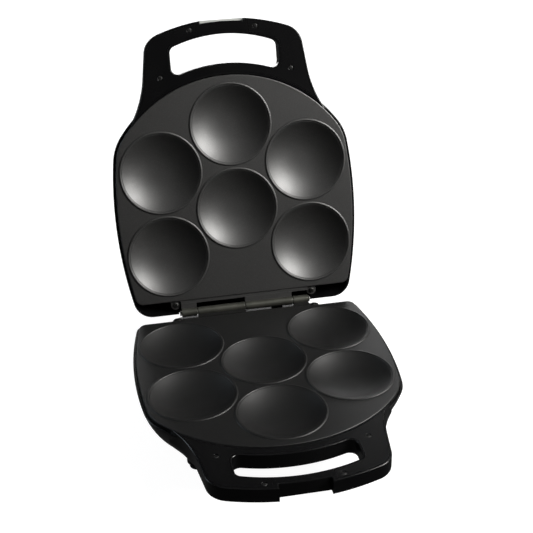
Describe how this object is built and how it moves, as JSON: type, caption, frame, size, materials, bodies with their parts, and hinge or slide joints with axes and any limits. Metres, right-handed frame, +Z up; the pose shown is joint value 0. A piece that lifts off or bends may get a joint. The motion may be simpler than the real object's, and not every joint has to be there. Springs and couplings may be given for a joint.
{
  "type": "donut maker",
  "caption": "Hinged electric baking appliance standing open: two dark non-stick plates with round cavities in black plastic housings, each with a looped handle, and a latch.",
  "frame": {"origin": "on the worktop, under the middle of the open appliance's bounding box", "axes": "+Z up, -Y towards the handle of the base (front), +Y towards the hinge and the leaning lid, +X along the hinge pin to the right of someone facing the front"},
  "size_m": [0.2558, 0.4162, 0.3389],
  "materials": {
    "housing": "black moulded plastic, low gloss",
    "handle_cover": "black moulded plastic, satin",
    "non_stick": "die-cast aluminium with a dark grey speckled non-stick coating",
    "latch_metal": "satin plated",
    "steel": "plain steel",
    "screw": "blackened steel",
    "rubber": "moulded rubber",
    "element": "heat-darkened steel tube",
    "sheet": "bright sheet",
    "ceramic": "unglazed",
    "red_lens": "clear red plastic",
    "green_lens": "clear green plastic",
    "lamp_glass": "clear glass"
  },
  "bodies": {
    "base": {"base_cover_screw_1": "screw", "base_cover_screw_2": "screw", "base_cover_screw_3": "screw", "base_cover_screw_4": "screw", "base_handle_cover": "handle_cover", "base_heating_element": "element", "base_plate": "non_stick", "base_plate_screw_1": "steel", "base_plate_screw_2": "steel", "base_reflector": "sheet", "base_reflector_screw_1": "steel", "base_reflector_screw_2": "steel", "base_reflector_screw_3": "steel", "base_shell": "housing", "cord_gland": "rubber", "front_left_foot": "rubber", "front_left_foot_screw": "steel", "front_right_foot": "rubber", "front_right_foot_screw": "steel", "hinge_pin": "steel", "hinge_pin_clip": "steel", "rear_left_foot": "rubber", "rear_left_foot_screw": "steel", "rear_right_foot": "rubber", "rear_right_foot_screw": "steel", "terminal_block": "ceramic", "thermal_fuse": "sheet", "thermostat": "ceramic"},
    "lid": {"lamp_holder": "ceramic", "latch_pin": "steel", "lid_cover_screw_1": "screw", "lid_cover_screw_2": "screw", "lid_cover_screw_3": "screw", "lid_cover_screw_4": "screw", "lid_handle_cover": "handle_cover", "lid_heating_element": "element", "lid_plate": "non_stick", "lid_plate_screw_1": "steel", "lid_plate_screw_2": "steel", "lid_reflector": "sheet", "lid_reflector_screw_1": "steel", "lid_reflector_screw_2": "steel", "lid_reflector_screw_3": "steel", "lid_shell": "housing", "power_lamp": "lamp_glass", "power_lens": "red_lens", "ready_lamp": "lamp_glass", "ready_lens": "green_lens"},
    "latch": {"latch": "latch_metal"}
  },
  "joints": [
    {"name": "lid_hinge", "type": "hinge", "parent": "base", "child": "lid", "pos_m": [0, 0.09272, 0.05], "axis": [1, 0, 0], "range_deg": [0, 106]},
    {"name": "latch_hinge", "type": "hinge", "parent": "lid", "child": "latch", "pos_m": [0, 0.18373, 0.33474], "axis": [1, 0, 0], "range_deg": [0, 195]}
  ]
}
